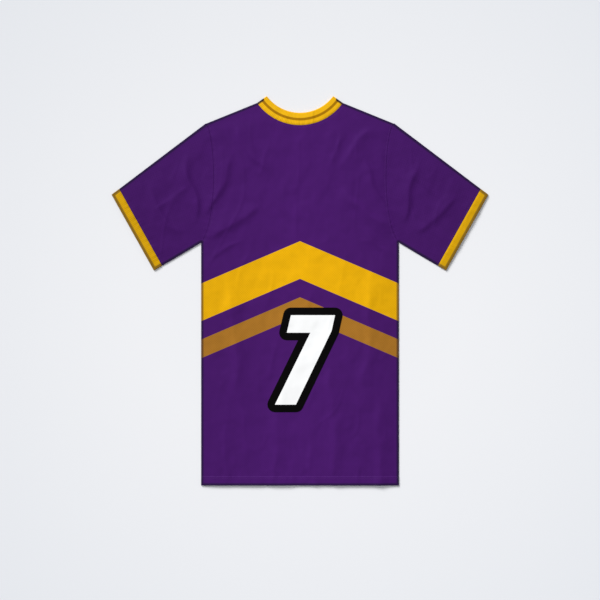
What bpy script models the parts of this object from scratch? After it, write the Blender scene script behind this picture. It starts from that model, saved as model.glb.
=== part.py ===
"""A short-sleeved football jersey laid flat, front up, with a ribbed collar and cuffs in gold.

Metres, +Z up, the hem towards -Y and the collar towards +Y. The origin is in the middle of the
jersey's outline, on the surface that it lies on. Every piece is a thin wall of cloth: the back and
the undersides of the sleeves lie flat on that surface, the front and the tops of the sleeves lie on
them in soft folds, and each sleeve, each cuff and the collar is one flattened ring of cloth.
"""

import math
from collections import namedtuple
from itertools import chain

import bmesh
import bpy

# The outline, measured flat from the middle of the hem: x to the side, y towards the collar.
HALF_WIDTH = 0.2075  # middle to side seam, the same from the underarm to the hem
UNDERARM_Y = 0.510
SHOULDER_TIP = (0.197, 0.7595)  # where the shoulder seam meets the sleeve
CUFF_TOP = (0.3955, 0.6105)  # the sleeve end's upper corner
CUFF_LOW = (0.3065, 0.4510)  # and its lower corner
CUFF_WIDTH = 0.020
ARMHOLE_BENDS = ((0.172, 0.552), (0.176, 0.7315))  # control points of the armhole's curve
HEM_DEPTH = 0.020  # the turned-up hem of the front and the back
HEM_STEP = 0.002  # the length over which its second layer ends

# The neck: the collar is a band between two arcs that end at the folds over the shoulders.
NECK_CENTRE_Y = 0.866
NECK_RADIUS = 0.110  # the collar's seam on the front
NECK_HALF_ANGLE = math.radians(55.0)  # from straight down to the fold
COLLAR_WIDTH = 0.025
BACK_NECK_RISE = 0.0015  # how much shallower the back's neckline is

# Cloth
CLOTH = 0.0012
RIB = 0.0016  # collar and cuffs, a doubled rib
HEM_EXTRA = 0.0006  # what the turned-up layer adds
GAP = 0.0003  # between pieces at a seam, and between a layer and the one under it

# How the upper layer lies on the lower one
REST_LOFT = 0.0012  # air under the upper layer away from its edges
EDGE_FADE = 0.022  # how far from a closed edge the upper layer has risen
CREASE_TAPER = 0.3  # the share of a crease over which each end dies away

Crease = namedtuple("Crease", "start_x start_y end_x end_y half_width height")
CREASES = (
    # drag folds from the underarms towards the chest
    Crease(0.200, 0.520, 0.085, 0.625, 0.016, 0.0030),
    Crease(0.196, 0.545, 0.120, 0.700, 0.013, 0.0022),
    Crease(-0.201, 0.515, -0.070, 0.600, 0.017, 0.0028),
    Crease(-0.196, 0.550, -0.135, 0.705, 0.014, 0.0024),
    # from the shoulders down beside the neck
    Crease(0.165, 0.765, 0.075, 0.660, 0.015, 0.0018),
    Crease(-0.150, 0.772, -0.060, 0.645, 0.016, 0.0020),
    # long soft folds down the body
    Crease(0.155, 0.500, 0.130, 0.150, 0.020, 0.0022),
    Crease(-0.160, 0.480, -0.120, 0.090, 0.022, 0.0026),
    Crease(0.060, 0.330, 0.075, -0.060, 0.021, 0.0020),
    Crease(-0.035, 0.290, -0.055, -0.060, 0.024, 0.0018),
    Crease(0.165, 0.220, 0.160, -0.060, 0.016, 0.0020),
    # across the sleeves
    Crease(0.215, 0.540, 0.250, 0.690, 0.014, 0.0028),
    Crease(0.245, 0.520, 0.330, 0.620, 0.013, 0.0022),
    Crease(-0.214, 0.545, -0.240, 0.700, 0.015, 0.0026),
    Crease(-0.250, 0.515, -0.320, 0.630, 0.014, 0.0024),
)

# Mesh: the strips that each stretch of cloth is divided into
NECK_STEPS = 9  # from the middle to the end of the neckline
SHOULDER_STEPS = 6
ARMHOLE_STEPS = 14  # from the underarm to the shoulder
FRONT_ROWS = 22  # from the hem's stitching to the underarm
BACK_ROWS = 5
SLEEVE_ROWS = 10  # from the armhole to the cuff
CUFF_ROWS = 2
COLLAR_ROWS = 2
FOLD_STEPS = 4  # round a folded edge
WELD = 0.00001  # closer than any two points of a piece

PURPLE = (0.066, 0.012, 0.140, 1.0)
GOLD = (0.83, 0.44, 0.004, 1.0)
CLOTH_ROUGHNESS = 0.75

Neck = namedtuple("Neck", "radius centre_y half_angle")


def lerp(a, b, t):
    return a + (b - a) * t


def between(p, q, t):
    return tuple(lerp(a, b, t) for a, b in zip(p, q))


def towards(p, q, distance):
    """The point this far from p on the way to q."""
    return between(p, q, distance / math.dist(p, q))


def bezier(points, t):
    """The point at t on the curve with these control points."""
    while len(points) > 1:
        points = [between(p, q, t) for p, q in zip(points, points[1:])]
    return points[0]


def smooth(t):
    t = min(max(t, 0.0), 1.0)
    return t * t * (3.0 - 2.0 * t)


def mirrored(points):
    return [(-x, y) for x, y in points]


# ---- The outline's curves ----

def neck_arc(radius, shallower=0.0):
    """An arc about the neck's centre, or one with the same ends that hangs less deep."""
    half_chord = radius * math.sin(NECK_HALF_ANGLE)
    end_y = NECK_CENTRE_Y - radius * math.cos(NECK_HALF_ANGLE)
    depth = radius * (1.0 - math.cos(NECK_HALF_ANGLE)) - shallower
    new_radius = (half_chord**2 + depth**2) / (2.0 * depth)
    return Neck(new_radius, end_y - depth + new_radius, math.asin(half_chord / new_radius))


def on_neck(neck, share):
    """The point at a share of an arc: 0 is its lowest point, and 1 and -1 are its ends."""
    angle = neck.half_angle * share
    return (neck.radius * math.sin(angle), neck.centre_y - neck.radius * math.cos(angle))


def armhole(share):
    """A point on the right armhole: 0 is the underarm, and 1 is the shoulder."""
    return bezier([(HALF_WIDTH, UNDERARM_Y), *ARMHOLE_BENDS, SHOULDER_TIP], share)


def across_sleeve(inset):
    """The ends, low and high, of a line across the right sleeve this far inside its end."""
    along_end = (CUFF_TOP[0] - CUFF_LOW[0], CUFF_TOP[1] - CUFF_LOW[1])
    length = math.hypot(*along_end)
    outward = (along_end[1] / length, -along_end[0] / length)
    ends = []
    for corner, root in ((CUFF_LOW, armhole(0.0)), (CUFF_TOP, armhole(1.0))):
        edge = (corner[0] - root[0], corner[1] - root[1])
        rise = edge[0] * outward[0] + edge[1] * outward[1]
        ends.append(between(corner, root, inset / rise))
    return ends


# ---- How high the upper layer lies ----

def closed_edges():
    """The right side's edges where the upper layer meets the lower one, as pairs of points."""
    collar_end = on_neck(neck_arc(NECK_RADIUS - COLLAR_WIDTH), 1.0)
    neck_end = on_neck(neck_arc(NECK_RADIUS), 1.0)
    underarm = armhole(0.0)
    return (
        (collar_end, neck_end),
        (neck_end, SHOULDER_TIP),
        (SHOULDER_TIP, CUFF_TOP),
        (underarm, CUFF_LOW),
        (underarm, (HALF_WIDTH, 0.0)),
    )


def beside(x, y, start, end):
    """Where a point lies beside a segment: its share of the length, and how far off it is."""
    run = (end[0] - start[0], end[1] - start[1])
    length = math.hypot(*run)
    off = (x - start[0], y - start[1])
    share = (off[0] * run[0] + off[1] * run[1]) / length**2
    return share, abs(off[0] * run[1] - off[1] * run[0]) / length


def edge_distance(x, y):
    """How far a point is from the nearest closed edge."""
    nearest = math.inf
    for start, end in closed_edges():
        share, _ = beside(abs(x), y, start, end)
        foot = between(start, end, min(max(share, 0.0), 1.0))
        nearest = min(nearest, math.dist((abs(x), y), foot))
    return nearest


def lift(x, y):
    """How far the upper layer has risen off the lower one."""
    height = REST_LOFT
    for c in CREASES:
        share, across = beside(x, y, (c.start_x, c.start_y), (c.end_x, c.end_y))
        ends = smooth(share / CREASE_TAPER) * smooth((1.0 - share) / CREASE_TAPER)
        height += c.height * ends * math.exp(-((across / c.half_width) ** 2))
    return height * (1.0 - math.exp(-((edge_distance(x, y) / EDGE_FADE) ** 2)))


# ---- Sheets of cloth ----

def cloth_material(name, colour):
    material = bpy.data.materials.new(name)
    material.use_nodes = True
    shader = material.node_tree.nodes["Principled BSDF"]
    shader.inputs["Base Color"].default_value = colour
    shader.inputs["Roughness"].default_value = CLOTH_ROUGHNESS
    shader.inputs["Metallic"].default_value = 0.0
    return material


def sheet(name, rows, thickness, colour):
    """A sheet on rows of points, which are its inner side, with the wall's thickness outside it."""
    mesh = bpy.data.meshes.new(name)
    work = bmesh.new()
    bmesh.ops.create_grid(work, x_segments=len(rows[0]) - 1, y_segments=len(rows) - 1)
    for vertex, point in zip(work.verts, chain(*rows)):
        vertex.co = point
    bmesh.ops.remove_doubles(work, verts=work.verts, dist=WELD)
    bmesh.ops.recalc_face_normals(work, faces=work.faces)
    work.to_mesh(mesh)
    work.free()
    mesh.shade_smooth()
    mesh.materials.append(cloth_material(name, colour))

    piece = bpy.data.objects.new(name, mesh)
    collar_tip_y = on_neck(neck_arc(NECK_RADIUS - COLLAR_WIDTH), 1.0)[1]
    piece.location.y = -collar_tip_y / 2.0
    bpy.data.collections["jersey"].objects.link(piece)
    wall = piece.modifiers.new("Wall", "SOLIDIFY")
    wall.thickness = thickness
    wall.offset = 1.0
    piece.modifiers.new("Even shading", "WEIGHTED_NORMAL")
    return piece


# ---- Front and back ----

def panel_rows(neck, body_rows):
    """A panel's plan as rows of points, from the hem to the shoulders and the neckline."""
    top = [on_neck(neck, i / NECK_STEPS) for i in range(NECK_STEPS)]
    neck_end = on_neck(neck, 1.0)
    top += [between(neck_end, SHOULDER_TIP, i / SHOULDER_STEPS) for i in range(SHOULDER_STEPS + 1)]
    shares = [x / SHOULDER_TIP[0] for x, _ in top]
    heights = [0.0, HEM_DEPTH - HEM_STEP]
    heights += [lerp(HEM_DEPTH, UNDERARM_Y, i / body_rows) for i in range(body_rows + 1)]
    rows = [[(share * HALF_WIDTH, y) for share in shares] for y in heights]
    for i in range(1, ARMHOLE_STEPS + 1):
        side_x, side_y = armhole(i / ARMHOLE_STEPS)
        rise = (side_y - UNDERARM_Y) / (SHOULDER_TIP[1] - UNDERARM_Y)
        rows.append([(s * side_x, lerp(UNDERARM_Y, y, rise)) for s, (_, y) in zip(shares, top)])
    return [mirrored(row[:0:-1]) + row for row in rows]


def in_hem(y):
    return y < HEM_DEPTH - HEM_STEP / 2.0


def panel(name, rows):
    """The front or the back, with a thicker wall where the hem is turned up."""
    piece = sheet(name, rows, CLOTH + HEM_EXTRA, PURPLE)
    hem = piece.vertex_groups.new(name="hem")
    hem.add([v.index for v in piece.data.vertices if in_hem(v.co.y)], 1.0, "REPLACE")
    wall = piece.modifiers["Wall"]
    wall.vertex_group = hem.name
    wall.thickness_vertex_group = CLOTH / (CLOTH + HEM_EXTRA)


def back():
    plan = panel_rows(neck_arc(NECK_RADIUS + GAP, BACK_NECK_RISE), BACK_ROWS)
    panel("back", [[(x, y, 0.0) for x, y in row] for row in plan])


def front():
    rows = []
    for row in panel_rows(neck_arc(NECK_RADIUS + GAP), FRONT_ROWS):
        floor = CLOTH + GAP + (HEM_EXTRA if in_hem(row[0][1]) else 0.0)
        rows.append([(x, y, floor + lift(x, y)) for x, y in row])
    panel("front", rows)


# ---- Flattened rings: sleeves, cuffs and collar ----

def fold(tip, direction, thickness):
    """Points round the inside of a folded edge that reaches tip, from the top layer down."""
    reach = thickness + GAP / 2.0
    points = []
    for i in range(FOLD_STEPS + 1):
        turn = math.pi * i / FOLD_STEPS
        back = reach - math.sin(turn) * GAP / 2.0
        x, y = (place - back * step for place, step in zip(tip, direction))
        points.append((x, y, reach + math.cos(turn) * GAP / 2.0))
    return points


def fold_direction(lines, end, neighbour):
    """The way in plan, of length 1, that a row's two lines reach their shared end."""
    inner = between(*(line[neighbour] for line in lines), 0.5)
    tip = lines[0][end]
    length = math.dist(inner, tip)
    return ((tip[0] - inner[0]) / length, (tip[1] - inner[1]) / length)


def flat_ring(name, rows, thickness, colour):
    """A ring of cloth pressed flat. Each row holds its upper and its lower line in plan, which
    end on the two folded edges, and the last row crosses these edges squarely."""
    near = fold_direction(rows[-1], 0, 1)
    far = fold_direction(rows[-1], -1, -2)
    ring = []
    for upper, lower in rows:
        over = [(x, y, thickness + GAP + lift(x, y)) for x, y in upper[1:-1]]
        under = [(x, y, thickness) for x, y in lower[-2:0:-1]]
        far_fold = fold(upper[-1], far, thickness)
        near_fold = fold(upper[0], near, thickness)[::-1]
        ring.append(over + far_fold + under + near_fold + over[:1])
    sheet(name, ring, thickness, colour)


def sleeve_rows():
    """The right sleeve's lines across, from just outside the armhole to just inside the cuff."""
    shares = [i / ARMHOLE_STEPS for i in range(ARMHOLE_STEPS + 1)]
    root = [(x + GAP, y) for x, y in map(armhole, shares)]
    root[0] = towards(armhole(0.0), CUFF_LOW, GAP)
    root[-1] = towards(SHOULDER_TIP, CUFF_TOP, GAP)
    low, high = across_sleeve(CUFF_WIDTH + GAP)
    end = [between(low, high, share) for share in shares]
    return [
        [between(p, q, i / SLEEVE_ROWS) for p, q in zip(root, end)]
        for i in range(SLEEVE_ROWS + 1)
    ]


def cuff_rows():
    rows = []
    for i in range(CUFF_ROWS + 1):
        low, high = across_sleeve(CUFF_WIDTH * (1.0 - i / CUFF_ROWS))
        rows.append([between(low, high, j / ARMHOLE_STEPS) for j in range(ARMHOLE_STEPS + 1)])
    return rows


def sleeves_and_cuffs():
    for name, rows, thickness, colour in (
        ("sleeve", sleeve_rows(), CLOTH, PURPLE),
        ("cuff", cuff_rows(), RIB, GOLD),
    ):
        for side, plan in (("right", rows), ("left", [mirrored(row) for row in rows])):
            flat_ring(f"{name}_{side}", [(row, row) for row in plan], thickness, colour)


def collar():
    shares = [i / NECK_STEPS for i in range(-NECK_STEPS, NECK_STEPS + 1)]
    rows = []
    for i in range(COLLAR_ROWS + 1):
        radius = NECK_RADIUS - COLLAR_WIDTH * i / COLLAR_ROWS
        arcs = (neck_arc(radius), neck_arc(radius, BACK_NECK_RISE))
        rows.append([[on_neck(arc, share) for share in shares] for arc in arcs])
    flat_ring("collar", rows, RIB, GOLD)


def main():
    for leftover in list(bpy.data.objects):
        bpy.data.objects.remove(leftover)
    bpy.context.scene.collection.children.link(bpy.data.collections.new("jersey"))
    back()
    front()
    sleeves_and_cuffs()
    collar()


main()
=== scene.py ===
"""The looks of a short-sleeved football jersey that lies flat with its front up.

Metres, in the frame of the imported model. The cloth is laid out on a plan whose points are complex
numbers, x + iy, with x to the side and y towards the collar from the hem. Each sewn piece is a
thin closed shell: the front and the back are grids between their seams, and each sleeve, each
cuff and the collar is a flattened ring. They share the functions that say how high the cloth lies.
"""

import math
from collections import namedtuple

import bmesh
import bpy
import numpy as np
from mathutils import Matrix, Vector


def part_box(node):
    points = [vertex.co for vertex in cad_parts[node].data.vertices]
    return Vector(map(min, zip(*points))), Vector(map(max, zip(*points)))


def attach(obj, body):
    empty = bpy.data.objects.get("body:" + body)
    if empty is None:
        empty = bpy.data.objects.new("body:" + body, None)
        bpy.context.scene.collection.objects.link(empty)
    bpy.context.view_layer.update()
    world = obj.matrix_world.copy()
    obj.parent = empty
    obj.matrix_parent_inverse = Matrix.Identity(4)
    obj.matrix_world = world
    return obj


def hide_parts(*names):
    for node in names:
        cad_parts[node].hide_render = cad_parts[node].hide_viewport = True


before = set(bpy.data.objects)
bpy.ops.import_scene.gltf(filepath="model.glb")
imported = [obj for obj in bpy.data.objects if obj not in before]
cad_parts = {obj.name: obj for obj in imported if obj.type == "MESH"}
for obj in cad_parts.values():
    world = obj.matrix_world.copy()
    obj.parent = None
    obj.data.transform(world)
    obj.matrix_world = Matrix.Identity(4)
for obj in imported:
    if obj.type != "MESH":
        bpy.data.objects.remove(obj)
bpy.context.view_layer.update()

HEM_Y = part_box("back")[0].y  # where the plan's hem lies in the frame

# ---- The cut, as in the part's source ----

HALF_WIDTH = 0.2075
UNDERARM = complex(HALF_WIDTH, 0.510)
SHOULDER_TIP = complex(0.197, 0.7595)
CUFF_TOP = complex(0.3955, 0.6105)
CUFF_LOW = complex(0.3065, 0.4510)
CUFF_WIDTH = 0.020
ARMHOLE_BENDS = (complex(0.172, 0.552), complex(0.176, 0.7315))
HEM_DEPTH = 0.020
HEM_STEP = 0.002
NECK_CENTRE_Y = 0.866
NECK_RADIUS = 0.110
NECK_HALF_ANGLE = math.radians(55.0)
COLLAR_WIDTH = 0.025
BACK_NECK_RISE = 0.0015
CLOTH = 0.0012
RIB = 0.0016
HEM_EXTRA = 0.0006
GAP = 0.0003  # between the layers
SEAM = 0.00006  # between sewn pieces, whose rounded edges make the seam's valley

# ---- How the cloth lies ----

REST_LOFT = 0.0012  # how far the upper layer has risen, creases apart, away from the edges
EDGE_FADE = 0.022  # how far from a closed edge it has mostly risen
Crease = namedtuple("Crease", "start_x start_y end_x end_y half_width height")
CREASES = (
    # drag folds from the underarms towards the chest
    Crease(0.200, 0.520, 0.085, 0.625, 0.016, 0.0030),
    Crease(0.196, 0.545, 0.120, 0.700, 0.013, 0.0022),
    Crease(-0.201, 0.515, -0.070, 0.600, 0.017, 0.0028),
    Crease(-0.196, 0.550, -0.135, 0.705, 0.014, 0.0024),
    # from the shoulders down beside the neck
    Crease(0.165, 0.765, 0.075, 0.660, 0.015, 0.0018),
    Crease(-0.150, 0.772, -0.060, 0.645, 0.016, 0.0020),
    # long soft folds down the body
    Crease(0.155, 0.500, 0.130, 0.150, 0.020, 0.0022),
    Crease(-0.160, 0.480, -0.120, 0.090, 0.022, 0.0026),
    Crease(0.060, 0.330, 0.075, -0.060, 0.021, 0.0020),
    Crease(-0.035, 0.290, -0.055, -0.060, 0.024, 0.0018),
    Crease(0.165, 0.220, 0.160, -0.060, 0.016, 0.0020),
    # across the sleeves
    Crease(0.215, 0.540, 0.250, 0.690, 0.014, 0.0028),
    Crease(0.245, 0.520, 0.330, 0.620, 0.013, 0.0022),
    Crease(-0.214, 0.545, -0.240, 0.700, 0.015, 0.0026),
    Crease(-0.250, 0.515, -0.320, 0.630, 0.014, 0.0024),
    # finer ones that only the looks have
    Crease(0.205, 0.470, 0.130, 0.545, 0.007, 0.0009),
    Crease(-0.205, 0.455, -0.120, 0.520, 0.008, 0.0010),
    Crease(0.110, 0.420, 0.165, 0.300, 0.009, 0.0008),
    Crease(-0.060, 0.720, -0.095, 0.640, 0.007, 0.0007),
    Crease(0.085, 0.735, 0.060, 0.670, 0.007, 0.0008),
    Crease(0.015, 0.120, 0.030, -0.020, 0.010, 0.0010),
    Crease(-0.155, 0.160, -0.150, -0.030, 0.009, 0.0009),
    Crease(0.225, 0.660, 0.300, 0.600, 0.008, 0.0008),
    Crease(-0.230, 0.640, -0.310, 0.575, 0.008, 0.0009),
)
CREASE_GAIN = 1.35  # the looks' creases against the solids': higher,
CREASE_NARROWING = 0.74  # and narrower
CREASE_PEAK = 1.6  # how sharp they are: 2 is a bell curve, and less has a finer ridge
CREASE_LEAN = 0.35  # by this share one flank is wider, and the other narrower
CREASE_TAPER = 0.3  # the share of a crease over which each end dies away
CREASE_SWAY = 0.006  # how far the creases stray from straight lines
UNDER_SHARE = 0.30  # what of a crease's height the layer underneath has
SWELL = 0.00045  # the height of a broad unevenness
RIPPLE = 0.00014  # and of a finer one
WRINKLE = 0.00055  # the height of the slight wrinkles, which run where their field is 0
WRINKLE_WIDTH = 0.22  # the field's value at which a wrinkle has mostly died away
WRINKLE_STRETCH = 0.42  # below 1 they run down the body more than across it
PUCKER_PITCH = 0.013  # from gather to gather along a seam
PUCKER_REACH = 0.009  # how far from the seam the gathers mostly die away
PUCKER_STRAY = 2.2  # how unevenly they are spaced, in radians

Field = namedtuple("Field", "length seed")  # random waves of about this length
SWAY_X, SWAY_Y = Field(0.110, 1), Field(0.110, 2)
SWELL_FIELD = Field(0.060, 3)
RIPPLE_FIELD = Field(0.022, 4)
PUCKER_FIELD = Field(0.050, 5)
WRINKLE_FIELD = Field(0.085, 6)
WRINKLE_PATCHES = Field(0.140, 7)  # where there are wrinkles
WAVE_COUNT = 14
WAVE_SPREAD = (0.75, 1.35)  # the waves' own lengths, as shares of the field's

# ---- Edges, mesh and sewing ----

FOLD_REACH = 0.0026  # the width over which a folded edge rounds off
SEAM_REACH = 0.0014  # and a sewn one
OPEN_REACH = 0.0009  # and an open one
RIB_GAIN = 0.004  # the width over which the rib reaches its full thickness beside a seam
BAND_DOME = 0.0002  # how much higher a cuff or the collar is along its middle
EDGE_LINES = (0.0003, 0.0009, 0.0018, 0.0030, 0.0040, 0.0050)  # a mesh's lines beside an edge
CELL = 0.0030  # from line to line elsewhere on the front
HEM_CELL = 0.0006  # and where a panel's hem is stitched, between
STITCHED_STRETCH = (0.0142, 0.0216)  # these heights above the hem
STEPS_BELOW_STITCHES = 4
BACK_CELL = 0.0048
SLEEVE_CELL = 0.0032
RIB_CELL = 0.00055  # along a band, across its ribs
BAND_CELL = 0.0028  # across a band
FOLD_STEPS = 7  # round the fold of a ring
LINE_STEPS = 40  # on a curved seam
RIB_PITCH = 0.0036
RIB_DEPTH = 0.00030
RIB_GROOVE = 0.17  # a groove's half width, as a share of the pitch

STITCH_PITCH = 0.0031  # from stitch to stitch
STITCH_LENGTH = 0.0024
STITCH_WIDTH = 0.00055
STITCH_HEIGHT = 0.00036
STITCH_SEGMENTS = 6  # round a stitch
STITCH_RINGS = 4  # along it
GROOVE_DEPTH = 0.00026  # how far stitches pull the cloth in
GROOVE_HALF_WIDTH = 0.0008
HEM_STITCHES = (0.0160, 0.0190)  # two rows above the hem
SEAM_STITCH = 0.0035  # from a seam to the row beside it
NECK_STITCHED = 0.97  # the share of the neckline with stitches beside it
CUFF_STITCHED = np.array((0.015, 0.985))  # where the row beside a cuff starts and ends

# ---- The print, its colours and the painted shade ----

CHEVRON_SLOPE = 0.428  # how steeply the chevrons fall to the sides
Band = namedtuple("Band", "top width")  # where the middle of a chevron reaches, and its height
BROAD_BAND = Band(0.513, 0.0790)
NARROW_BAND = Band(0.3954, 0.0393)
PRINT_EDGE = 0.0006  # the width over which one colour turns into the next
DIGIT = (
    complex(-0.0191, 0.3575),
    complex(0.0735, 0.3575),
    complex(0.0663, 0.3247),
    complex(-0.0085, 0.1699),
    complex(-0.0526, 0.1699),
    complex(0.0216, 0.3207),
    complex(-0.0277, 0.3207),
)
DIGIT_BORDER = 0.0160
DIGIT_CELL = 0.0036
CORNER_STEPS = 5  # round the border's outer corners
FILM = 0.00030  # how high the border's film reaches, and how thick the face's is
FILM_FLOOR = 0.00008  # the gap under each
FILM_MERGE = 0.00003  # points closer than this are one
FILM_SHARP = math.radians(40.0)  # a film's edges are sharp from this angle

PURPLE = (0.0620, 0.0080, 0.1370, 1.0)
YELLOW = (0.830, 0.432, 0.0008, 1.0)
OCHRE = (0.395, 0.170, 0.0200, 1.0)
GOLD = (0.830, 0.452, 0.0060, 1.0)
# the collar's gold, darker on the cuffs as painted shade
SHADED_CUFF_GOLD = (0.748, 0.404, 0.0020, 1.0)
DARK_GOLD = (0.370, 0.170, 0.0010, 1.0)
WHITE = (0.93, 0.94, 0.95, 1.0)
BLACK = (0.0016, 0.0014, 0.0015, 1.0)
PURPLE_THREAD = (0.085, 0.014, 0.170, 1.0)
# how far off the collar's middle its dark line fades, as shares of the collar's width
MIDDLE_LINE = (0.085, 0.130)
PAINTED_SIDE_SHADE = 0.80  # painted shade: the colours' strength this far out
PAINTED_SIDE_SHADE_X = 0.330
EdgeShade = namedtuple("EdgeShade", "near far strength")  # painted shade in a dark line along the jersey's edges, which fades between these distances
CLOTH_EDGE_SHADE = EdgeShade(0.0038, 0.0060, 0.64)
CUFF_EDGE_SHADE = EdgeShade(0.0048, 0.0073, 0.64)
COLLAR_EDGE_SHADE = EdgeShade(0.0034, 0.0056, 0.93)
# the dark colour that the painted edge shade mixes in
PAINTED_EDGE_SHADE = (0.0056, 0.0080, 0.0203, 1.0)

# ---- The surfaces ----

WALE = 0.0015  # the knit's columns
COURSE = 0.0011  # and rows of loops
WALE_FLANK = 0.6  # the share of half a column over which it rises from the furrow
LEG_SLANT = 0.45  # how far a loop's leg rises across that half, in rows
LOOP_SWING = 0.22  # how much the height swings along a leg, either way
EYELET_PITCH = 0.0050
EYELET_CORE = 0.102  # an eyelet is deepest within this share of the pitch,
EYELET_RIM = 0.221  # and ends at this one
EYELET_PAINTED_SHADE = 0.80  # the colour's strength in it, as painted shade in the hole

Finish = namedtuple("Finish", "roughness specular sheen sheen_tint")
KNIT_FINISH = Finish(0.62, 0.06, 0.04, (0.55, 0.35, 0.70, 1.0))
RIB_FINISH = Finish(0.66, 0.06, 0.04, (1.0, 0.80, 0.30, 1.0))
THREAD_FINISH = Finish(0.50, 0.25, 0.05, (1.0, 1.0, 1.0, 1.0))
FILM_FINISH = Finish(0.50, 0.03, 0.0, (1.0, 1.0, 1.0, 1.0))
FLOOR_FINISH = Finish(0.90, 0.10, 0.0, (1.0, 1.0, 1.0, 1.0))
SHEEN_ROUGHNESS = 0.45
FILM_ROUGHNESS = (0.45, 0.58)  # the film's, which varies

Noise = namedtuple("Noise", "scale detail low high")  # it mostly stays between low and high
CLOTH_NOISE = Noise(55.0, 3.0, 0.30, 0.70)
THREAD_NOISE = Noise(900.0, 1.0, 0.35, 0.65)
FILM_NOISE = Noise(40.0, 4.0, 0.30, 0.70)
CLOTH_MOTTLE = (0.965, 1.035)  # the colour's strength at the noise's low and high
THREAD_SHADE = 0.80  # its strength at the high, against 1 at the low
FILM_SHADE = 0.96

Relief = namedtuple("Relief", "strength depth")
UNEVENNESS = Relief(0.6, 0.0006)
KNIT_RELIEF = Relief(0.5, 0.00022)
RIB_RELIEF = Relief(0.5, 0.00016)
THREAD_RELIEF = Relief(0.5, 0.0002)
FILM_RELIEF = Relief(0.3, 0.0001)

# ---- The stage ----

CAMERA_HEIGHT = 3.5
VIEW_WIDTH = 1.26  # what the picture spans at the surface that the jersey lies on
VIEW_ABOVE_HEM = 0.3893  # the picture's middle
SENSOR = 36.0
CLIP_END = 30.0
FLOOR_SIZE = 14.0
FLOOR_DROP = 0.0002  # how far it is under the jersey
FLOOR_FALLOFF_RANGE = (0.35, 1.05)  # between these distances from the middle the floor gets slightly darker, a painted falloff of the light
FLOOR_PAINTED_LIGHT_NEAR = (0.815, 0.825, 0.855, 1.0)
FLOOR_PAINTED_LIGHT_FAR = (0.725, 0.750, 0.795, 1.0)
SKY = (0.97, 0.98, 1.0, 1.0)
SKY_STRENGTH = 0.30
Light = namedtuple("Light", "kind place energy colour")
KEY = Light("SUN", (-2.4, 3.4, 2.9), 3.5, (1.0, 0.99, 0.97))
KEY_ANGLE = math.radians(28.0)
FILL = Light("AREA", (0.5, -0.6, 4.6), 34.0, (0.97, 0.98, 1.0))
FILL_SIZE = 2.4


# ---- Small tools ----

def lerp(a, b, t):
    return a + (b - a) * t


def smooth(t):
    t = np.clip(t, 0.0, 1.0)
    return t * t * (3.0 - 2.0 * t)


def mirrored(plan):
    return -np.conj(plan)


def on_right(plan):
    return np.abs(plan.real) + 1j * plan.imag


def beside(plan, line):
    """How far points are from a line of points, and how far along it they lie."""
    nearest = np.full(plan.shape, np.inf)
    along = np.zeros(plan.shape)
    passed = 0.0
    for start, end in zip(line, line[1:]):
        run = end - start
        share = np.clip(((plan - start) * np.conj(run)).real / abs(run) ** 2, 0.0, 1.0)
        off = np.abs(plan - start - run * share)
        along = np.where(off < nearest, passed + share * abs(run), along)
        nearest = np.minimum(nearest, off)
        passed += abs(run)
    return nearest, along


def waves(plan, field):
    """A smooth random height between -1 and 1."""
    random = np.random.default_rng(field.seed)
    total = np.zeros(plan.shape)
    for _ in range(WAVE_COUNT):
        heading = np.exp(1j * random.uniform(0.0, math.tau))
        length = field.length * random.uniform(*WAVE_SPREAD)
        phase = random.uniform(0.0, math.tau)
        total += np.sin((plan * np.conj(heading)).real * math.tau / length + phase)
    return np.tanh(total / math.sqrt(WAVE_COUNT / 2.0))


def round_off(distance, reach):
    """A quarter round: 0 at an edge, and 1 from reach inwards."""
    return np.sqrt(1.0 - (1.0 - np.clip(distance / reach, 0.0, 1.0)) ** 2)


def spaced(length, cell, start=False, end=False):
    """Shares of a length, about a cell apart, and closer where it starts or ends in an edge."""
    low = EDGE_LINES[-1] if start else 0.0
    high = length - (EDGE_LINES[-1] if end else 0.0)
    places = np.linspace(low, high, max(1, round((high - low) / cell)) + 1)
    lines = np.array((0.0, *EDGE_LINES[:-1]))
    if start:
        places = np.concatenate([lines, places])
    if end:
        places = np.concatenate([places, length - lines[::-1]])
    return places / length


# ---- The plan's curves ----

Neck = namedtuple("Neck", "radius centre_y half_angle")


def neck_arc(radius, shallower=0.0):
    """An arc about the neck's centre, or one with the same ends that hangs less deep."""
    half_chord = radius * math.sin(NECK_HALF_ANGLE)
    end_y = NECK_CENTRE_Y - radius * math.cos(NECK_HALF_ANGLE)
    depth = radius * (1.0 - math.cos(NECK_HALF_ANGLE)) - shallower
    new_radius = (half_chord**2 + depth**2) / (2.0 * depth)
    return Neck(new_radius, end_y - depth + new_radius, math.asin(half_chord / new_radius))


def on_neck(neck, share):
    """A point on an arc: 0 is its lowest point, and 1 and -1 are its ends."""
    angle = neck.half_angle * share
    return neck.radius * np.sin(angle) + 1j * (neck.centre_y - neck.radius * np.cos(angle))


def armhole(share):
    """A point on the right armhole: 0 is the underarm, and 1 is the shoulder."""
    first, second = ARMHOLE_BENDS
    rest = 1.0 - share
    ends = rest**3 * UNDERARM + share**3 * SHOULDER_TIP
    return ends + 3.0 * rest * share * (rest * first + share * second)


def across_sleeve(inset):
    """The ends, low and high, of a line across the right sleeve this far inside its end."""
    outward = (CUFF_TOP - CUFF_LOW) / abs(CUFF_TOP - CUFF_LOW) * -1j
    ends = []
    for corner, root in ((CUFF_LOW, UNDERARM), (CUFF_TOP, SHOULDER_TIP)):
        rise = ((corner - root) * np.conj(outward)).real
        ends.append(lerp(corner, root, inset / rise))
    return ends


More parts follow.
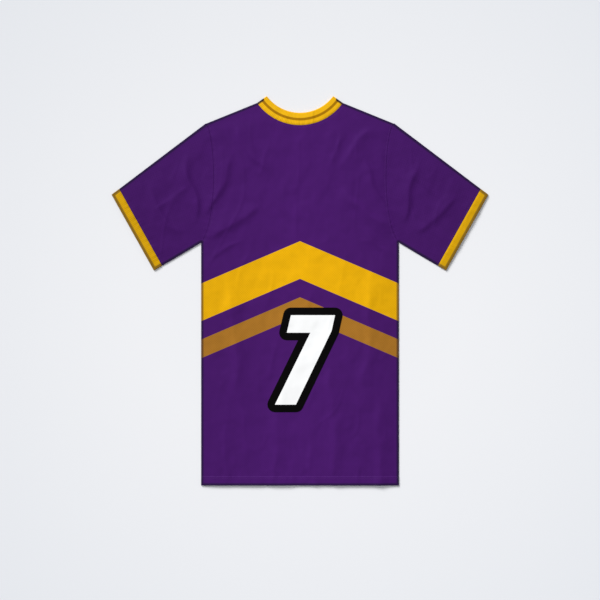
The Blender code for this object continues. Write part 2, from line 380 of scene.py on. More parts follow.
HALF_LINE = np.linspace(0.0, 1.0, LINE_STEPS + 1)
NECK_END = on_neck(neck_arc(NECK_RADIUS), 1.0)
COLLAR_END = on_neck(neck_arc(NECK_RADIUS - COLLAR_WIDTH), 1.0)
HEM_CORNER = complex(HALF_WIDTH, 0.0)
SLEEVE_GRAIN = np.angle((CUFF_TOP - CUFF_LOW) * -1j)
ARMHOLE_LINE = armhole(HALF_LINE)
NECK_LINE = on_neck(neck_arc(NECK_RADIUS), HALF_LINE)
CUFF_LINE = np.array(across_sleeve(CUFF_WIDTH))
STITCHED_HEM = np.array((0.0, HALF_WIDTH)) + 1j * HEM_DEPTH
SHOULDER_LINE = np.array((NECK_END, SHOULDER_TIP))
SIDE_LINE = np.array((UNDERARM, HEM_CORNER))
HEM_LINE = np.array((0.0, HEM_CORNER))
UPPER_OUTLINE = np.array((COLLAR_END, NECK_END, SHOULDER_TIP, CUFF_TOP))
LOWER_OUTLINE = np.array((CUFF_LOW, UNDERARM, HEM_CORNER))
COLLAR_MIDDLE = (NECK_END + COLLAR_END) / 2.0
# the line along which the painted edge shade lies
EDGE_SHADE_LINE = np.array(
    (COLLAR_MIDDLE, NECK_END, SHOULDER_TIP, CUFF_TOP, CUFF_LOW, UNDERARM, HEM_CORNER, 0.0)
)

Seam = namedtuple("Seam", "line pucker")
SEAMS = (
    Seam(ARMHOLE_LINE, 0.00026),
    Seam(CUFF_LINE, 0.00024),
    Seam(NECK_LINE, 0.00020),
    Seam(STITCHED_HEM, 0.00022),
    Seam(SIDE_LINE, 0.00016),
)


# ---- How high the cloth lies ----

def edge_fade(plan):
    """0 at the jersey's closed edges, where the layers meet, and 1 well inside them."""
    right = on_right(plan)
    nearest = np.minimum(beside(right, UPPER_OUTLINE)[0], beside(right, LOWER_OUTLINE)[0])
    return 1.0 - np.exp(-((nearest / EDGE_FADE) ** 2))


def creases(plan):
    """The height of the creases, as soft ridges along slightly bent lines."""
    bent = plan + CREASE_SWAY * (waves(plan, SWAY_X) + 1j * waves(plan, SWAY_Y))
    height = np.zeros(plan.shape)
    for c in CREASES:
        start = complex(c.start_x, c.start_y)
        run = complex(c.end_x, c.end_y) - start
        place = (bent - start) * np.conj(run) / abs(run)
        share = place.real / abs(run)
        ends = smooth(share / CREASE_TAPER) * smooth((1.0 - share) / CREASE_TAPER)
        lean = 1.0 + CREASE_LEAN * np.sign(place.imag)
        off = np.abs(place.imag) / (c.half_width * CREASE_NARROWING * lean)
        height += CREASE_GAIN * c.height * ends * np.exp(-(off**CREASE_PEAK))
    return height


def wrinkles(plan):
    """Slight wrinkles that mostly run down the body, each along a bent and broken line."""
    stretched = plan.real + 1j * WRINKLE_STRETCH * plan.imag
    off = waves(stretched, WRINKLE_FIELD) / WRINKLE_WIDTH
    patches = smooth(0.5 + waves(plan, WRINKLE_PATCHES))
    return WRINKLE * patches * np.exp(-(off**2))


def puckers(plan):
    """Small gathers across the seams, which die away beside them."""
    right = on_right(plan)
    stray = PUCKER_STRAY * waves(plan, PUCKER_FIELD)
    height = np.zeros(plan.shape)
    for seam in SEAMS:
        off, along = beside(right, seam.line)
        gathers = np.sin(along * math.tau / PUCKER_PITCH + stray)
        height += seam.pucker * np.exp(-off / PUCKER_REACH) * gathers
    return height


def upper_lift(plan):
    """How far the upper layer has risen off the lower one."""
    uneven = SWELL * waves(plan, SWELL_FIELD) + RIPPLE * waves(plan, RIPPLE_FIELD)
    loose = REST_LOFT + creases(plan) + wrinkles(plan) + uneven
    return loose * edge_fade(plan) + puckers(plan)


def under_lift(plan):
    """How far the lower layer has risen off the surface that it lies on."""
    return UNDER_SHARE * creases(plan) * edge_fade(plan)


def turned_up(plan):
    """What the hem's second layer adds to the wall."""
    return HEM_EXTRA * (1.0 - smooth((plan.imag - HEM_DEPTH + HEM_STEP) / HEM_STEP))


def grooves(plan):
    """How deep the rows of stitches on a panel have pulled the cloth in."""
    right = on_right(plan)
    distances = [plan.imag - row for row in HEM_STITCHES]
    distances += [beside(right, line)[0] - SEAM_STITCH for line in (NECK_LINE, ARMHOLE_LINE)]
    return GROOVE_DEPTH * sum(np.exp(-((d / GROOVE_HALF_WIDTH) ** 2)) for d in distances)


def front_inside(plan):
    return CLOTH + GAP + turned_up(plan) + upper_lift(plan)


def front_outside(plan):
    return front_inside(plan) + CLOTH + turned_up(plan) - grooves(plan)


def back_inside(plan):
    return under_lift(plan) + CLOTH + turned_up(plan)


def back_outside(plan):
    return under_lift(plan) + grooves(plan)


def sleeve_top(plan):
    return 2.0 * CLOTH + GAP + upper_lift(plan) - cuff_groove(plan)


def sleeve_bottom(plan):
    return under_lift(plan) + cuff_groove(plan)


def cuff_groove(plan):
    """How deep the row of stitches beside a cuff has pulled the sleeve in."""
    distance = beside(on_right(plan), CUFF_LINE)[0] - SEAM_STITCH
    return GROOVE_DEPTH * np.exp(-((distance / GROOVE_HALF_WIDTH) ** 2))


# ---- Meshes ----

def new_piece(name, points, faces, material):
    """A smooth mesh on the plan, placed in the frame and riding on the model's one body."""
    mesh = bpy.data.meshes.new(name)
    mesh.from_pydata(points.tolist(), [], faces.tolist())
    mesh.shade_smooth()
    mesh.materials.append(material)
    piece = bpy.data.objects.new(name, mesh)
    piece.location.y = HEM_Y
    bpy.context.scene.collection.objects.link(piece)
    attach(piece, "root")
    return piece


def cells(index):
    """The four corners of each cell of a grid of point numbers."""
    corners = (index[:-1, :-1], index[:-1, 1:], index[1:, 1:], index[1:, :-1])
    return np.stack(corners, axis=-1).reshape(-1, 4)


def volume(points, faces):
    a, b, c, d = (points[faces[:, i]] for i in range(4))
    first = np.einsum("ij,ij->i", a, np.cross(b, c))
    second = np.einsum("ij,ij->i", a, np.cross(c, d))
    return (first.sum() + second.sum()) / 6.0


def thin_shell(name, outer, inner, ring, material, across=None):
    """A closed wall between two grids of points that share their open borders. In a ring the last
    column is followed by the first. Its points carry their distance from the jersey's outline
    and across, a value for each row."""
    rows, columns = outer.shape[:2]
    first = np.arange(rows * columns).reshape(rows, columns)
    second = first + rows * columns
    second[0], second[-1] = first[0], first[-1]
    if ring:
        first = np.hstack([first, first[:, :1]])
        second = np.hstack([second, second[:, :1]])
    else:
        second[:, 0], second[:, -1] = first[:, 0], first[:, -1]
    faces = np.concatenate([cells(first), cells(second)[:, ::-1]])
    used, faces = np.unique(faces, return_inverse=True)
    faces = faces.reshape(-1, 4)
    points = np.concatenate([outer.reshape(-1, 3), inner.reshape(-1, 3)])[used]
    if volume(points, faces) < 0.0:
        faces = faces[:, ::-1]
    piece = new_piece(name, points, faces, material)
    plan = points[:, 0] + 1j * points[:, 1]
    # the distance from the outline places the painted edge shade
    carried = {"from_outline": beside(on_right(plan), EDGE_SHADE_LINE)[0]}
    if across is not None:
        carried["across"] = np.tile(np.repeat(across, columns), 2)[used]
    for key, values in carried.items():
        attribute = piece.data.attributes.new(key, "FLOAT", "POINT")
        attribute.data.foreach_set("value", values.astype(np.float32))
    return piece


def raised(plan, height):
    """The points that lie at a height over points of the plan."""
    return np.stack([plan.real, plan.imag, np.broadcast_to(height, plan.shape)], axis=-1)


def taken(work):
    """The points and triangles of a bmesh, which is freed. bmesh may list them in another order
    each time, so they are sorted. A flat face with more corners is cut from its first one."""
    work.verts.index_update()
    points = np.array([v.co[:] for v in work.verts])
    order = np.lexsort(points.T)
    rank = np.argsort(order)
    triangles = []
    for face in work.faces:
        corners = rank[[v.index for v in face.verts]]
        first, *others = np.roll(corners, -corners.argmin())
        triangles += [(first, *pair) for pair in zip(others, others[1:])]
    work.free()
    return points[order], np.array(sorted(triangles))


# ---- Front and back ----

def body_heights(cell):
    """The rows of a panel from the hem to the underarm, close together at the hem's stitches."""
    edge = np.array((0.0, *EDGE_LINES))
    stitched = np.arange(*STITCHED_STRETCH, HEM_CELL)
    plain = np.linspace(edge[-1], stitched[0], STEPS_BELOW_STITCHES + 1)
    rest = np.linspace(stitched[-1], UNDERARM.imag, round((UNDERARM.imag - stitched[-1]) / cell))
    return np.concatenate([edge, plain[1:-1], stitched, rest[1:]])


def panel_plan(neck, cell):
    """A panel's plan points: rows from the hem to the shoulders, columns from left to right."""
    neck_end = on_neck(neck, 1.0)
    shoulder = SHOULDER_TIP.real - neck_end.real
    below_neck = neck_end.real * spaced(neck_end.real, cell)
    below_shoulder = neck_end.real + shoulder * spaced(shoulder, cell, end=True)
    top_x = np.concatenate([below_neck, below_shoulder[1:]])
    arc_x = np.minimum(top_x, neck_end.real)
    arc_y = neck.centre_y - np.sqrt(neck.radius**2 - arc_x**2)
    top_y = lerp(arc_y, SHOULDER_TIP.imag, (top_x - arc_x) / shoulder)

    length = np.abs(np.diff(ARMHOLE_LINE)).sum()
    beside_arm = armhole(spaced(length, cell, end=True)[1:])
    side = np.concatenate([HALF_WIDTH + 1j * body_heights(cell), beside_arm])[:, None]
    rise = (side.imag - UNDERARM.imag) / (SHOULDER_TIP.imag - UNDERARM.imag)
    y = np.where(rise > 0.0, lerp(UNDERARM.imag, top_y, rise), side.imag)
    right = side.real * top_x / SHOULDER_TIP.real + 1j * y
    return np.hstack([mirrored(right[:, :0:-1]), right])


def panel(name, neck, cell, outside, inside, material):
    """The front or the back, with its edges rounded and its folded edges drawn in to meet."""
    plan = panel_plan(neck, cell)
    right = on_right(plan)
    neckline = on_neck(neck, HALF_LINE)
    folded = np.ones(plan.shape)
    for line in (SHOULDER_LINE, SIDE_LINE):
        folded = folded * round_off(beside(right, line)[0], FOLD_REACH)
    cut = round_off(beside(right, HEM_LINE)[0], OPEN_REACH)
    for line in (neckline, ARMHOLE_LINE):
        cut = cut * round_off(beside(right, line)[0], SEAM_REACH)
    meet = CLOTH + turned_up(plan) + GAP / 2.0
    low, high = inside(plan), outside(plan)
    middle = lerp(meet, (low + high) / 2.0, folded)
    half = (high - low) / 2.0 * folded * cut
    outer, inner = raised(plan, middle + half), raised(plan, middle - half)
    return thin_shell(name, outer, inner, False, material)


# ---- Flattened rings: sleeves, cuffs and collar ----

def fold_points(tip, over, under, top, bottom, reach):
    """Points round one fold of every row, from the upper layer to the lower one."""
    turns = np.linspace(math.pi / 2.0, -math.pi / 2.0, FOLD_STEPS + 2)[1:-1]
    level = np.sin(turns)
    outward = (tip - over) / np.abs(tip - over)
    plan = lerp(under, over, (1.0 + level) / 2.0) + outward * reach * np.cos(turns)
    return raised(plan, (top + bottom) / 2.0 + (top - bottom) / 2.0 * level)


def ring_side(over, under, tips, top, bottom, reach):
    """One side of a ring's wall as a grid: each row goes over, round a fold, under and back."""
    near, far = (
        fold_points(tip[:, None], over[:, [i]], under[:, [i]], top[:, [i]], bottom[:, [i]], reach)
        for i, tip in zip((0, -1), tips)
    )
    upper, lower = raised(over, top), raised(under, bottom)
    return np.concatenate([upper, far, lower[:, ::-1], near[:, ::-1]], axis=1)


def flat_ring(name, lines, rows, columns, wall, heights, ends, material, ribbed=None):
    """A flattened ring of cloth. lines gives the plan points of its upper and its lower layer for a
    row's share of the way along and shares of the way across. wall has a thickness for each row,
    and ends has the widths over which the ring's two open ends round off."""
    along = rows[:, None]
    over_line, under_line = lines
    sample = over_line(along, HALF_LINE[None, :])
    length = np.abs(np.diff(sample, axis=1)).sum(axis=1)[:, None]
    reach = wall[:, None] + GAP / 2.0
    shares = lerp(reach / length, 1.0 - reach / length, columns[None, :])
    over, under = over_line(along, shares), under_line(along, shares)
    tips = sample[:, 0], sample[:, -1]
    top_out, top_in, bottom_in, bottom_out = heights(over, under, wall[:, None], along)
    if ribbed is not None:
        top_out, bottom_out = top_out - ribbed, bottom_out + ribbed
    outer = ring_side(over, under, tips, top_out, bottom_out, reach)
    inner = ring_side(over, under, tips, top_in, bottom_in, np.full(reach.shape, GAP / 2.0))
    middle, half = (outer + inner) / 2.0, (outer - inner) / 2.0
    plan = outer[..., 0] + 1j * outer[..., 1]
    rounded = np.ones(plan.shape)
    for end, width in zip((0, -1), ends):
        rounded = rounded * round_off(np.abs(plan - plan[end]), width)
    half = half * rounded[..., None]
    return thin_shell(name, middle + half, middle - half, True, material, rows)


def sleeve_heights(over, under, wall, along):
    """The heights of a sleeve's four sides, from the outside on top to the outside below."""
    top, bottom = sleeve_top(over), sleeve_bottom(under)
    return top, CLOTH + GAP + upper_lift(over), CLOTH + under_lift(under), bottom


def band_heights(over, under, wall, along):
    """The same for a cuff or the collar, which is slightly domed between its edges."""
    dome = BAND_DOME * (1.0 - (2.0 * along - 1.0) ** 2)
    upper, lower = upper_lift(over), under_lift(under)
    return 2.0 * wall + GAP + upper + dome, wall + GAP + upper, wall + lower, lower


def band_walls(rows, width):
    """A band's thickness in each row: the panel's beside the seam, and the rib's further on."""
    return lerp(CLOTH, RIB, smooth(rows * width / RIB_GAIN))


def ribs(columns, length):
    """How deep the grooves between the ribs are at shares of a band's length."""
    place = columns * round(length / RIB_PITCH)
    off = (place - np.floor(place) - 0.5) / RIB_GROOVE
    return RIB_DEPTH * np.exp(-(off**2))[None, :]


def sleeve_line(along, share):
    """A point of the right sleeve: along goes from the armhole to the cuff."""
    low, high = across_sleeve(CUFF_WIDTH + SEAM)
    return lerp(armhole(share) + SEAM, lerp(low, high, share), along)


def cuff_line(along, share):
    inner, outer = across_sleeve(CUFF_WIDTH), across_sleeve(0.0)
    return lerp(lerp(*inner, share), lerp(*outer, share), along)


def on_side(line, side):
    """A line of the right sleeve, or its mirror image."""
    return line if side == "right" else lambda along, share: mirrored(line(along, share))


def sleeve(side, material):
    length = abs(CUFF_TOP - SHOULDER_TIP)
    width = np.abs(np.diff(ARMHOLE_LINE)).sum()
    rows = spaced(length, SLEEVE_CELL, start=True, end=True)
    columns = spaced(width, SLEEVE_CELL)
    wall = np.full(rows.shape, CLOTH)
    line = on_side(sleeve_line, side)
    ends = (SEAM_REACH, SEAM_REACH)
    return flat_ring(
        f"sleeve_{side}_cloth", (line, line), rows, columns, wall, sleeve_heights, ends, material,
    )


def cuff(side, material):
    length = abs(CUFF_TOP - CUFF_LOW)
    rows = spaced(CUFF_WIDTH, BAND_CELL, start=True, end=True)
    columns = spaced(length, RIB_CELL)
    line = on_side(cuff_line, side)
    return flat_ring(
        f"cuff_{side}_rib", (line, line), rows, columns, band_walls(rows, CUFF_WIDTH), band_heights,
        (SEAM_REACH, OPEN_REACH), material, ribs(columns, length),
    )


def collar_line(shallower):
    """The plan of one layer of the collar, from its seam to its free edge."""
    def line(along, share):
        arcs = [neck_arc(r, shallower) for r in (NECK_RADIUS - COLLAR_WIDTH * along).ravel()]
        shares = np.broadcast_to(share, (len(arcs), share.shape[-1]))
        return np.array([on_neck(arc, 2.0 * s - 1.0) for arc, s in zip(arcs, shares)])
    return line


def collar(material):
    length = 2.0 * NECK_RADIUS * NECK_HALF_ANGLE
    rows = spaced(COLLAR_WIDTH, BAND_CELL, start=True, end=True)
    columns = spaced(length, RIB_CELL)
    lines = (collar_line(0.0), collar_line(BACK_NECK_RISE))
    return flat_ring(
        "collar_rib", lines, rows, columns, band_walls(rows, COLLAR_WIDTH), band_heights,
        (SEAM_REACH, OPEN_REACH), material, ribs(columns, length),
    )


# ---- Stitches ----

def unit_stitch():
    """The points and faces of a ball that each stitch is a stretched copy of."""
    work = bmesh.new()
    bmesh.ops.create_uvsphere(work, u_segments=STITCH_SEGMENTS, v_segments=STITCH_RINGS, radius=0.5)
    bmesh.ops.triangulate(work, faces=work.faces)
    return taken(work)


def stitch_places(run, surface):
    """Where the stitches along a run of plan points lie, and the way each one points."""
    along = np.concatenate([[0.0], np.cumsum(np.abs(np.diff(run)))])
    centres = np.arange(STITCH_PITCH / 2.0, along[-1], STITCH_PITCH)
    ends = []
    for place in (centres - STITCH_LENGTH / 2.0, centres + STITCH_LENGTH / 2.0):
        plan = np.interp(place, along, run.real) + 1j * np.interp(place, along, run.imag)
        ends.append(raised(plan, surface(plan)))
    heading = ends[1] - ends[0]
    return (ends[0] + ends[1]) / 2.0, heading / np.linalg.norm(heading, axis=1)[:, None]


def stitches(name, runs, surface, material):
    """Rows of stitches that lie on a surface over the plan, as one mesh."""
    ball, ball_faces = unit_stitch()
    points, faces = [], []
    for run in runs:
        centres, heading = stitch_places(run, surface)
        sideways = np.cross((0.0, 0.0, 1.0), heading)
        upward = np.cross(heading, sideways)
        for centre, axes in zip(centres, np.stack([heading, sideways, upward], axis=1)):
            faces.append(ball_faces + len(ball) * len(points))
            points.append(centre + ball * (STITCH_LENGTH, STITCH_WIDTH, STITCH_HEIGHT) @ axes)
    points, faces = np.concatenate(points), np.concatenate(faces)
    return new_piece(name, points, faces, material)


def both_sides(line):
    return [line, mirrored(line)]


def whole(line):
    """A line on the right and its mirror image as one line."""
    return np.concatenate([mirrored(line[:0:-1]), line])


def offset(line, distance):
    """A line moved sideways, to the left of the way it runs."""
    heading = np.gradient(line)
    return line + 1j * heading / np.abs(heading) * distance


def panel_runs():
    """The rows of stitches on the front or the back."""
    reach = HALF_WIDTH - FOLD_REACH
    runs = [np.array((-reach, reach)) + 1j * row for row in HEM_STITCHES]
    arc = on_neck(neck_arc(NECK_RADIUS + SEAM_STITCH), NECK_STITCHED * HALF_LINE)
    inside = offset(ARMHOLE_LINE, SEAM_STITCH)[1:-1]
    return [*runs, whole(arc), *both_sides(inside)]


def cuff_runs():
    low, high = across_sleeve(CUFF_WIDTH + SEAM_STITCH)
    return both_sides(lerp(low, high, CUFF_STITCHED))


# ---- The number ----

def outset(outline, distance):
    """An outline moved outwards, with its outer corners rounded. It runs clockwise."""
    moved = []
    for i, point in enumerate(outline):
        before = point - outline[i - 1]
        after = outline[(i + 1) % len(outline)] - point
        first, second = (1j * way / abs(way) for way in (before, after))
        turn = np.angle(second / first)
        if turn < 0.0:
            steps = np.linspace(0.0, turn, CORNER_STEPS + 1)
            moved += list(point + distance * first * np.exp(1j * steps))
        else:
            moved.append(point + distance * (first + second) / (1.0 + math.cos(turn)))
    return moved


def film(name, outline, floor, top, material):
    """A thin film pressed onto the front, between two heights above it."""
    work = bmesh.new()
    work.faces.new([work.verts.new((p.real, p.imag, floor)) for p in reversed(outline)])
    extents = ([p.real for p in outline], [p.imag for p in outline])
    for values, normal in zip(extents, ((1.0, 0.0, 0.0), (0.0, 1.0, 0.0))):
        for place in np.arange(min(values) + DIGIT_CELL, max(values), DIGIT_CELL):
            geometry = [*work.verts, *work.edges, *work.faces]
            at = [place * n for n in normal]
            bmesh.ops.bisect_plane(work, geom=geometry, plane_co=at, plane_no=normal)
    bmesh.ops.remove_doubles(work, verts=work.verts, dist=FILM_MERGE)
    bmesh.ops.triangulate(work, faces=work.faces)
    upper = bmesh.ops.extrude_face_region(work, geom=list(work.faces), use_keep_orig=True)
    for vertex in (v for v in upper["geom"] if isinstance(v, bmesh.types.BMVert)):
        vertex.co.z = top
    bmesh.ops.recalc_face_normals(work, faces=work.faces)
    points, faces = taken(work)
    points[:, 2] += front_outside(points[:, 0] + 1j * points[:, 1])
    piece = new_piece(name, points, faces, material)
    piece.data.set_sharp_from_angle(angle=FILM_SHARP)
    return piece


# ---- Materials ----

def node(tree, kind, inputs=(), **settings):
    """Adds a shader node. inputs has pairs of a socket's name or number and a value or socket."""
    new = tree.nodes.new("ShaderNode" + kind)
    for name, value in settings.items():
        setattr(new, name, value)
    for name, value in inputs:
        if isinstance(value, bpy.types.NodeSocket):
            tree.links.new(value, new.inputs[name])
        else:
            new.inputs[name].default_value = value
    return new


def calc(tree, operation, first, second=0.0, third=0.0):
    inputs = ((0, first), (1, second), (2, third))
    return node(tree, "Math", inputs, operation=operation).outputs[0]


def ramp(tree, value, low, high, start=0.0, end=1.0):
    """A value carried from one range to another, and held at its ends."""
    inputs = (("Value", value), (1, low), (2, high), (3, start), (4, end))
    return node(tree, "MapRange", inputs).outputs[0]


def mix(tree, share, first, second):
    inputs = (("Factor", share), (6, first), (7, second))
    return node(tree, "Mix", inputs, data_type="RGBA").outputs[2]


def noise(tree, kind, point):
    inputs = (("Vector", point), ("Scale", kind.scale), ("Detail", kind.detail))
    return node(tree, "TexNoise", inputs).outputs[0]


def bump(tree, height, relief, normals=None):
    """The normals of a relief, which may lie on a surface that has its own."""
    inputs = [("Height", height), ("Strength", relief.strength), ("Distance", relief.depth)]
    if normals is not None:
        inputs.append(("Normal", normals))
    return node(tree, "Bump", inputs).outputs[0]


def paint(tree, shader, colour, strength):
    """Gives the shader a colour of varying strength."""
    scaled = node(tree, "VectorMath", ((0, colour), ("Scale", strength)), operation="SCALE")
    tree.links.new(scaled.outputs[0], shader.inputs["Base Color"])


def new_material(name, finish):
    material = bpy.data.materials.new(name)
    material.use_nodes = True
    shader = material.node_tree.nodes["Principled BSDF"]
    shader.inputs["Roughness"].default_value = finish.roughness
    shader.inputs["Specular IOR Level"].default_value = finish.specular
    shader.inputs["Sheen Weight"].default_value = finish.sheen
    shader.inputs["Sheen Roughness"].default_value = SHEEN_ROUGHNESS
    shader.inputs["Sheen Tint"].default_value = finish.sheen_tint
    return material, material.node_tree, shader


Place = namedtuple("Place", "point x y side")


def plan_place(tree):
    """A point on the plan, its x and y, and x without its sign."""
    point = node(tree, "TexCoord").outputs["Object"]
    x, y, _ = node(tree, "SeparateXYZ", ((0, point),)).outputs
    return Place(point, x, y, calc(tree, "ABSOLUTE", x))


def painted_side_shade(tree, at):
    """The colours' strength, which falls towards the jersey's sides: painted shade."""
    return ramp(tree, at.side, 0.0, PAINTED_SIDE_SHADE_X, 1.0, PAINTED_SIDE_SHADE)


def knit_height(tree, x, y):
    """The height of a fine knit: columns of loops whose legs slant to each other."""
    column = calc(tree, "MULTIPLY", calc(tree, "PINGPONG", calc(tree, "DIVIDE", x, WALE), 0.5), 2.0)
    row = calc(tree, "DIVIDE", y, COURSE)
    slanted = calc(tree, "MULTIPLY_ADD", column, LEG_SLANT, row)
    loop = calc(tree, "SINE", calc(tree, "MULTIPLY", slanted, math.tau))
    leg = calc(tree, "MULTIPLY_ADD", loop, LOOP_SWING, 1.0 - LOOP_SWING)
    return calc(tree, "MULTIPLY", ramp(tree, column, 0.0, WALE_FLANK), leg)


def eyelets(tree, x, y):
    """1 in the small holes of a mesh knit, whose rows are staggered, and 0 between them."""
    nearest = None
    for shift in (0.0, 0.5):
        offs = []
        for value in (x, y):
            cell = calc(tree, "ADD", calc(tree, "DIVIDE", value, EYELET_PITCH), shift)
            off = calc(tree, "SUBTRACT", calc(tree, "FRACT", cell), 0.5)
            offs.append(calc(tree, "MULTIPLY", off, off))
        distance = calc(tree, "SQRT", calc(tree, "ADD", *offs))
        nearest = distance if nearest is None else calc(tree, "MINIMUM", nearest, distance)
    return ramp(tree, nearest, EYELET_CORE, EYELET_RIM, 1.0, 0.0)


def edge_shaded(tree, colour, outline):
    """A colour with a dark line of painted edge shade round the jersey's outline."""
    distance = node(tree, "Attribute", attribute_name="from_outline").outputs["Fac"]
    line = ramp(tree, distance, outline.near, outline.far, outline.strength, 0.0)
    return mix(tree, line, colour, PAINTED_EDGE_SHADE)


def finish_cloth(tree, shader, at, along, across, colour, relief, holes=None):
    """Darkens the colour towards the sides and in the eyelets as painted shade, mottles it a
    little, and adds the knit's relief.
    """
    mottle = noise(tree, CLOTH_NOISE, at.point)
    mottled = ramp(tree, mottle, CLOTH_NOISE.low, CLOTH_NOISE.high, *CLOTH_MOTTLE)
    strength = calc(tree, "MULTIPLY", painted_side_shade(tree, at), mottled)
    height = knit_height(tree, along, across)
    if holes is not None:
        # painted shade in the eyelets
        strength = calc(tree, "MULTIPLY", strength, ramp(tree, holes, 0.0, 1.0, 1.0, EYELET_PAINTED_SHADE))
        height = calc(tree, "SUBTRACT", height, holes)
    paint(tree, shader, colour, strength)
    uneven = bump(tree, mottle, UNEVENNESS)
    tree.links.new(bump(tree, height, relief, uneven), shader.inputs["Normal"])


def band_mask(tree, level, band):
    """1 inside a chevron, where level is the height at which its slope would reach the middle."""
    low = ramp(tree, level, band.top - band.width - PRINT_EDGE, band.top - band.width)
    high = ramp(tree, level, band.top - PRINT_EDGE, band.top, 1.0, 0.0)
    return calc(tree, "MULTIPLY", low, high)


def turned(tree, x, y, angle):
    """The place of a point along and across a grain that is turned by an angle."""
    cosine, sine = math.cos(angle), math.sin(angle)
    along = calc(tree, "ADD", calc(tree, "MULTIPLY", x, cosine), calc(tree, "MULTIPLY", y, sine))
    across = calc(
        tree, "SUBTRACT", calc(tree, "MULTIPLY", y, cosine), calc(tree, "MULTIPLY", x, sine)
    )
    return along, across


def jersey_knit(name, printed, grain=0.0):
    """Purple polyester mesh knit, with the chevrons dyed into it or plain. grain is the angle by
    which its rows are turned."""
    material, tree, shader = new_material(name, KNIT_FINISH)
    at = plan_place(tree)
    colour = PURPLE
    if printed:
        level = calc(tree, "MULTIPLY_ADD", at.side, CHEVRON_SLOPE, at.y)
        colour = mix(tree, band_mask(tree, level, BROAD_BAND), colour, YELLOW)
        colour = mix(tree, band_mask(tree, level, NARROW_BAND), colour, OCHRE)
    # painted shade along the jersey's edges
    colour = edge_shaded(tree, colour, CLOTH_EDGE_SHADE)
    along, across = turned(tree, at.side, at.y, grain)
    holes = eyelets(tree, along, across)
    finish_cloth(tree, shader, at, along, across, colour, KNIT_RELIEF, holes)
    return material


def rib_knit(name, gold, outline, lined, grain=0.0):
    """Gold rib, with or without a darker line along the middle of the band, and with painted edge
    shade round the jersey's outline.
    """
    material, tree, shader = new_material(name, RIB_FINISH)
    at = plan_place(tree)
    colour = gold
    if lined:
        share = node(tree, "Attribute", attribute_name="across").outputs["Fac"]
        off = calc(tree, "ABSOLUTE", calc(tree, "SUBTRACT", share, 0.5))
        colour = mix(tree, ramp(tree, off, *MIDDLE_LINE, 1.0, 0.0), colour, DARK_GOLD)
    # painted shade along the jersey's edges
    colour = edge_shaded(tree, colour, outline)
    along, across = turned(tree, at.side, at.y, grain)
    finish_cloth(tree, shader, at, along, across, colour, RIB_RELIEF)
    return material


def dappled(tree, value, kind, colour, shade):
    """A colour that gets darker where a noise is high."""
    darker = [channel * shade for channel in colour]
    return mix(tree, ramp(tree, value, kind.low, kind.high), colour, darker)


def thread(name, colour):
    material, tree, shader = new_material(name, THREAD_FINISH)
    at = plan_place(tree)
    wool = noise(tree, THREAD_NOISE, at.point)
    tint = dappled(tree, wool, THREAD_NOISE, colour, THREAD_SHADE)
    # painted shade towards the jersey's sides
    paint(tree, shader, tint, painted_side_shade(tree, at))
    tree.links.new(bump(tree, wool, THREAD_RELIEF), shader.inputs["Normal"])
    return material


def pressed_film(name, colour):
    """The number's film, through which the knit shows faintly."""
    material, tree, shader = new_material(name, FILM_FINISH)
    at = plan_place(tree)
    cloud = noise(tree, FILM_NOISE, at.point)
    tint = dappled(tree, cloud, FILM_NOISE, colour, FILM_SHADE)
    tree.links.new(tint, shader.inputs["Base Color"])
    gloss = ramp(tree, cloud, FILM_NOISE.low, FILM_NOISE.high, *FILM_ROUGHNESS)
    tree.links.new(gloss, shader.inputs["Roughness"])
    knit = knit_height(tree, at.x, at.y)
    tree.links.new(bump(tree, knit, FILM_RELIEF), shader.inputs["Normal"])
    return material


# ---- Floor, light and camera ----

def lay_floor():
    work = bmesh.new()
    bmesh.ops.create_grid(work, x_segments=1, y_segments=1, size=FLOOR_SIZE / 2.0)
    mesh = bpy.data.meshes.new("floor")
    work.to_mesh(mesh)
    work.free()
    material, tree, shader = new_material("pale_floor", FLOOR_FINISH)
    point = node(tree, "TexCoord").outputs["Object"]
    away = node(tree, "VectorMath", ((0, point),), operation="LENGTH").outputs["Value"]
    # painted light falloff: the floor darkens away from the middle
    tint = mix(tree, ramp(tree, away, *FLOOR_FALLOFF_RANGE), FLOOR_PAINTED_LIGHT_NEAR, FLOOR_PAINTED_LIGHT_FAR)
    tree.links.new(tint, shader.inputs["Base Color"])
    mesh.materials.append(material)
    floor = bpy.data.objects.new("floor", mesh)
    floor.location.z = -FLOOR_DROP
    bpy.context.scene.collection.objects.link(floor)


def add_light(name, light):
    """A light that shines from its place on the middle of the jersey."""
    data = bpy.data.lights.new(name, light.kind)
    data.energy = light.energy
    data.color = light.colour
    lamp = bpy.data.objects.new(name, data)
    lamp.location = light.place
    lamp.rotation_mode = "QUATERNION"
    lamp.rotation_quaternion = (-Vector(light.place)).to_track_quat("-Z", "Y")
    bpy.context.scene.collection.objects.link(lamp)
    return data


def light_up():
    world = bpy.data.worlds.new("studio")
    world.use_nodes = True
    background = world.node_tree.nodes["Background"]
    background.inputs["Color"].default_value = SKY
    background.inputs["Strength"].default_value = SKY_STRENGTH
    bpy.context.scene.world = world
    key = add_light("key", KEY)
    key.angle = KEY_ANGLE
    fill = add_light("fill", FILL)
    fill.shape = "DISK"
    fill.size = FILL_SIZE


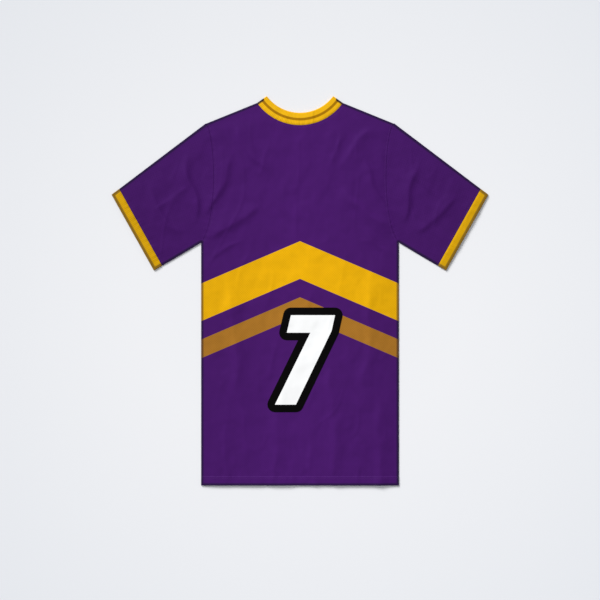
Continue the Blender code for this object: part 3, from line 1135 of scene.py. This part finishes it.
def camera():
    data = bpy.data.cameras.new("camera")
    data.sensor_width = SENSOR
    data.lens = SENSOR * CAMERA_HEIGHT / VIEW_WIDTH
    data.clip_end = CLIP_END
    eye = bpy.data.objects.new("camera", data)
    eye.location = (0.0, HEM_Y + VIEW_ABOVE_HEM, CAMERA_HEIGHT)
    bpy.context.scene.collection.objects.link(eye)
    bpy.context.scene.camera = eye
    bpy.context.scene.view_settings.view_transform = "Standard"


# ---- The jersey ----

def number():
    """The digit's border and its face, as two films."""
    black_film = pressed_film("black_film", BLACK)
    white_film = pressed_film("white_film", WHITE)
    border = film("number_border", outset(DIGIT, DIGIT_BORDER), FILM_FLOOR, FILM, black_film)
    face = film("number_face", DIGIT, FILM + FILM_FLOOR, 2.0 * FILM + FILM_FLOOR, white_film)
    return border, face


def seam_stitches():
    """Makes all rows of stitches, and returns the front's and the back's."""
    yarn = thread("purple_thread", PURPLE_THREAD)
    front_seams = stitches("front_stitches", panel_runs(), front_outside, yarn)
    back_seams = stitches("back_stitches", panel_runs(), back_outside, yarn)
    stitches("sleeve_stitches", cuff_runs(), sleeve_top, yarn)
    return front_seams, back_seams


def jersey():
    plain, printed = jersey_knit("plain_knit", False), jersey_knit("printed_knit", True)
    sleeve_knit = jersey_knit("sleeve_knit", False, SLEEVE_GRAIN)
    lined_rib = rib_knit("collar_rib", GOLD, COLLAR_EDGE_SHADE, True)
    plain_rib = rib_knit("cuff_rib", SHADED_CUFF_GOLD, CUFF_EDGE_SHADE, False, SLEEVE_GRAIN)

    neck = neck_arc(NECK_RADIUS + SEAM)
    back_neck = neck_arc(NECK_RADIUS + SEAM, BACK_NECK_RISE)
    front = panel("front_cloth", neck, CELL, front_outside, front_inside, printed)
    back = panel("back_cloth", back_neck, BACK_CELL, back_outside, back_inside, plain)
    sleeves = {side: sleeve(side, sleeve_knit) for side in ("right", "left")}
    cuffs = {side: cuff(side, plain_rib) for side in ("right", "left")}
    neckband = collar(lined_rib)
    border, face = number()
    front_seams, back_seams = seam_stitches()

    for piece, node_name in (
        (front, "front"), (back, "back"), (neckband, "collar"),
        (sleeves["right"], "sleeve_right"), (sleeves["left"], "sleeve_left"),
        (cuffs["right"], "cuff_right"), (cuffs["left"], "cuff_left"),
    ):
        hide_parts(node_name)


camera()
lay_floor()
light_up()
jersey()
